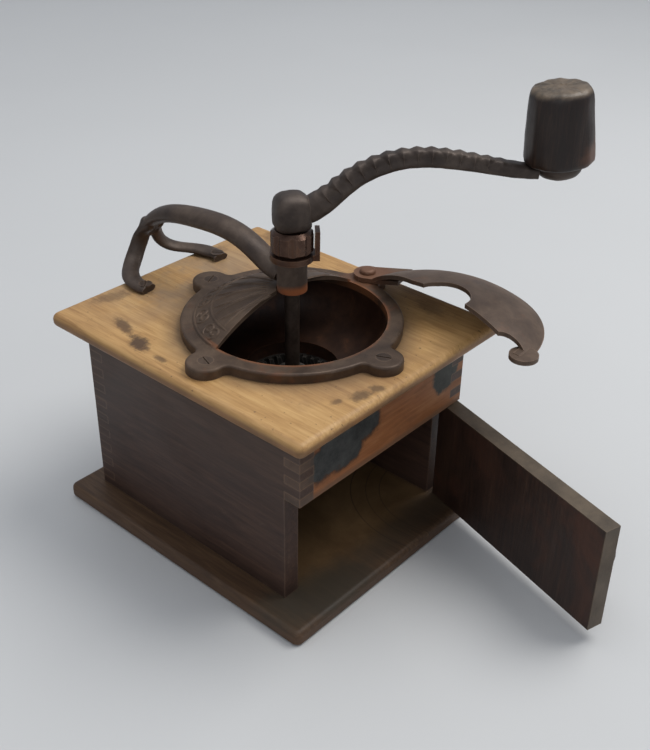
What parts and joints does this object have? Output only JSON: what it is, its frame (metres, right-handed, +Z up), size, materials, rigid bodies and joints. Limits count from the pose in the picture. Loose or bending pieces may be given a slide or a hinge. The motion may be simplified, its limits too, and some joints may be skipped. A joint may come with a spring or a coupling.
{
  "type": "coffee grinder mill",
  "caption": "Antique lap coffee mill: wooden box with a swinging door, iron hopper with half dome and swing lid, bridge handle, burrs and a hand crank.",
  "frame": {"origin": "centre of the base board's underside, where the mill stands", "axes": "+Z up along the spindle, -Y towards the side with the door, +X to the right of someone facing the door"},
  "size_m": [0.1927, 0.3067, 0.2535],
  "materials": {
    "base_wood": "worn, dirty oiled board",
    "side_wood": "dark purple-brown stained board",
    "rail_wood": "orange-brown stain with dark torn patches",
    "top_wood": "honey-yellow varnish, scratched and stained",
    "door_wood": "very dark brown stain",
    "knob_wood": "dark turned wood, worn smooth",
    "nail_steel": "rusted",
    "dark_iron": "brown oxidised casting with relief",
    "bowl_iron": "dark reddish-brown",
    "screw_steel": "rusted slotted heads",
    "handle_iron": "dark grey-brown casting",
    "shaft_steel": "dull, oiled",
    "burr_iron": "grey, toothed",
    "nut_iron": "reddish-brown, rubbed shiny"
  },
  "bodies": {
    "frame": {"base_board": "base_wood", "left_panel": "side_wood", "right_panel": "side_wood", "back_panel": "side_wood", "front_rail": "rail_wood", "top_board": "top_wood", "base_nails": "nail_steel", "hopper_top": "dark_iron", "hopper_bowl": "bowl_iron", "ring_screws": "screw_steel", "lid_rivet": "dark_iron", "bridge_handle": "handle_iron", "handle_screws": "screw_steel", "outer_burr": "burr_iron", "burr_screws": "screw_steel", "bottom_strap": "burr_iron", "strap_screws": "screw_steel", "door_pivot_pins": "nail_steel"},
    "door": {"door": "door_wood", "door_knob": "knob_wood", "door_knob_screw": "screw_steel"},
    "lid": {"lid": "dark_iron"},
    "collar": {"lock_ring": "nut_iron"},
    "nut": {"adjusting_nut": "nut_iron"},
    "spindle": {"drive_shaft": "shaft_steel", "grinding_cone": "burr_iron", "cone_pin": "shaft_steel", "crank_arm": "handle_iron"},
    "knob": {"crank_knob": "knob_wood", "knob_pin": "shaft_steel"}
  },
  "joints": [
    {"name": "door_swing", "type": "hinge", "parent": "frame", "child": "door", "pos_m": [0.0625, -0.07635, 0], "axis": [0, 0, 1], "range_deg": [-73.7, 106.3]},
    {"name": "lid_swing", "type": "hinge", "parent": "frame", "child": "lid", "pos_m": [0.0625, -0.0125, 0.13], "axis": [0, 0, 1], "range_deg": [-73.5, 60]},
    {"name": "crank_spin", "type": "hinge", "parent": "frame", "child": "collar", "pos_m": [0, -0.0125, 0.16], "axis": [0, 0, 1], "continuous": true},
    {"name": "nut_turn", "type": "hinge", "parent": "collar", "child": "nut", "pos_m": [0, -0.0125, 0.17], "axis": [0, 0, 1], "range_deg": [-183, 183]},
    {"name": "grind_adjust", "type": "slide", "parent": "collar", "child": "spindle", "axis": [0, 0, 1], "range_m": [-0.00075, 0.00075]},
    {"name": "knob_spin", "type": "hinge", "parent": "spindle", "child": "knob", "pos_m": [0.09369, -0.10619, 0.21442], "axis": [-0.0678, 0.0678, 0.9954], "continuous": true}
  ],
  "couplings": [
    {"joint": "nut_turn", "follows": "grind_adjust", "rad_per_m": 4188}
  ]
}
